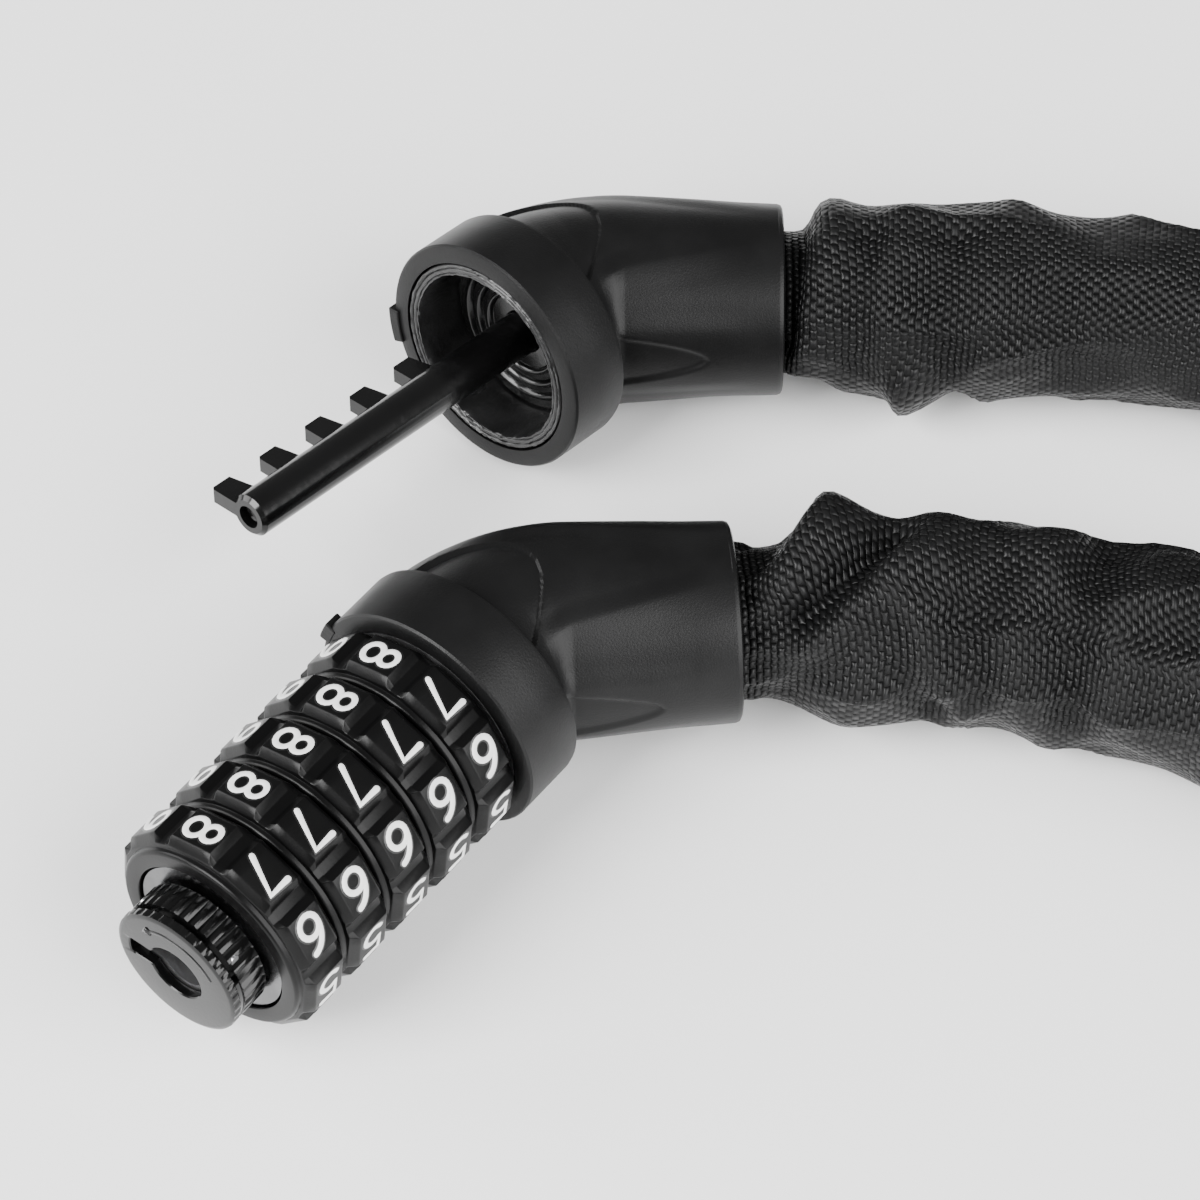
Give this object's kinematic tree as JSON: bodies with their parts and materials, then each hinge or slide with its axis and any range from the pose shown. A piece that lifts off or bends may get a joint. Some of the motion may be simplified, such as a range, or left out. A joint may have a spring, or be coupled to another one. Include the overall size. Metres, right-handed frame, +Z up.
{
  "type": "combination chain lock",
  "caption": "Chain lock with numbered dials and a reset knob on one elbow cover, a toothed bolt in a cup on the other, and a looped woven sleeve over the chain.",
  "frame": {"origin": "on the dial axis, at the front face of the first dial, in the middle of the bolt bore", "axes": "+X out of the keyhole along the dial axis, +Z up from the table, +Y the way both elbows bend and the loop lies"},
  "size_m": [0.2377, 0.4004, 0.0319],
  "materials": {
    "cover_plastic": "fine grained",
    "dial_plastic": "satin, white digits",
    "knob_plastic": "glossy",
    "black_steel": "glossy black",
    "black_zinc": "rough cast, black",
    "zinc": "die cast",
    "spring_steel": "bright",
    "pin_steel": "turned",
    "chain_steel": "hardened",
    "ring_brass": "machined",
    "sleeve_weave": "coarse woven polyester"
  },
  "bodies": {
    "lock_body": {"core_barrel": "zinc", "click_spring": "spring_steel", "front_washer": "spring_steel", "ring_washer_2": "spring_steel", "ring_washer_3": "spring_steel", "ring_washer_4": "spring_steel", "ring_washer_5": "spring_steel", "lock_bolt": "black_steel", "bolt_cup": "black_zinc", "bolt_washer": "spring_steel", "chain_pin_dial_end": "pin_steel", "chain_pin_bolt_end": "pin_steel", "dial_end_cover_top": "cover_plastic", "dial_end_cover_bottom": "cover_plastic", "bolt_end_cover_top": "cover_plastic", "bolt_end_cover_bottom": "cover_plastic", "sleeve": "sleeve_weave", "chain_links_flat": "chain_steel", "chain_links_upright": "chain_steel"},
    "dial_1_body": {"dial_1": "dial_plastic", "code_ring_1": "ring_brass"},
    "dial_2_body": {"dial_2": "dial_plastic", "code_ring_2": "ring_brass"},
    "dial_3_body": {"dial_3": "dial_plastic", "code_ring_3": "ring_brass"},
    "dial_4_body": {"dial_4": "dial_plastic", "code_ring_4": "ring_brass"},
    "dial_5_body": {"dial_5": "dial_plastic", "code_ring_5": "ring_brass"},
    "knob_body": {"reset_knob": "knob_plastic", "knob_pin": "pin_steel"}
  },
  "joints": [
    {"name": "dial_1_turn", "type": "hinge", "parent": "lock_body", "child": "dial_1_body", "pos_m": [-0.00375, 0, 0], "axis": [1, 0, 0], "continuous": true},
    {"name": "dial_2_turn", "type": "hinge", "parent": "lock_body", "child": "dial_2_body", "pos_m": [-0.0115, 0, 0], "axis": [1, 0, 0], "continuous": true},
    {"name": "dial_3_turn", "type": "hinge", "parent": "lock_body", "child": "dial_3_body", "pos_m": [-0.01925, 0, 0], "axis": [1, 0, 0], "continuous": true},
    {"name": "dial_4_turn", "type": "hinge", "parent": "lock_body", "child": "dial_4_body", "pos_m": [-0.027, 0, 0], "axis": [1, 0, 0], "continuous": true},
    {"name": "dial_5_turn", "type": "hinge", "parent": "lock_body", "child": "dial_5_body", "pos_m": [-0.03475, 0, 0], "axis": [1, 0, 0], "continuous": true},
    {"name": "knob_turn", "type": "hinge", "parent": "lock_body", "child": "knob_body", "pos_m": [0.003, 0, 0], "axis": [1, 0, 0], "range_deg": [0, 90]}
  ]
}
